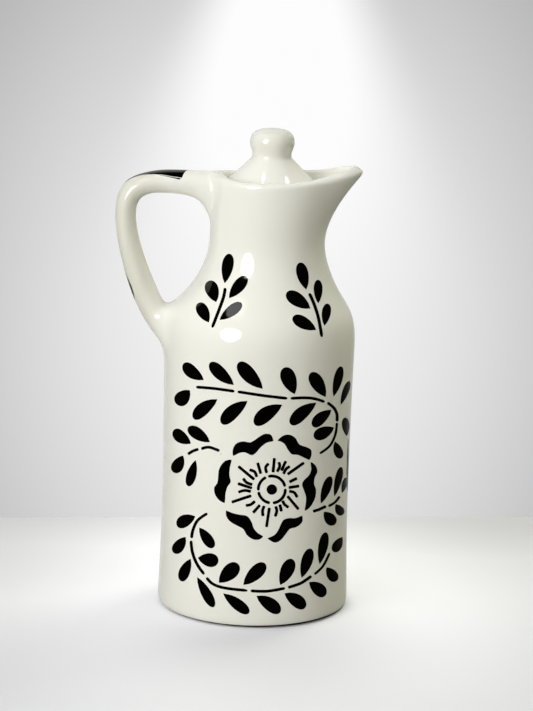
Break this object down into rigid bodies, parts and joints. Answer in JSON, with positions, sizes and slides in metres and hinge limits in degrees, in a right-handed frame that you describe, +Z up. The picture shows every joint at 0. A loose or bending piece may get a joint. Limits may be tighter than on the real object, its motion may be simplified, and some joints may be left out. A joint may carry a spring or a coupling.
{
  "type": "oil dispenser",
  "caption": "Tall glazed ceramic jug with a pulled pouring spout, a strap handle and a loose knobbed lid, for keeping and pouring cooking oil.",
  "frame": {"origin": "centre of the foot ring, on the surface the jug stands on", "axes": "+Z up along the body's axis, +X towards the spout, -X towards the handle, +Y across"},
  "size_m": [0.1205, 0.0952, 0.2393],
  "materials": {
    "ivory_glaze": "glossy milky ivory glaze over stoneware",
    "black_paint": "black stencilled paint under the clear glaze, on the jug's wall and handle"
  },
  "bodies": {
    "root": {"jug": "ivory_glaze", "lid": "ivory_glaze"}
  },
  "joints": []
}
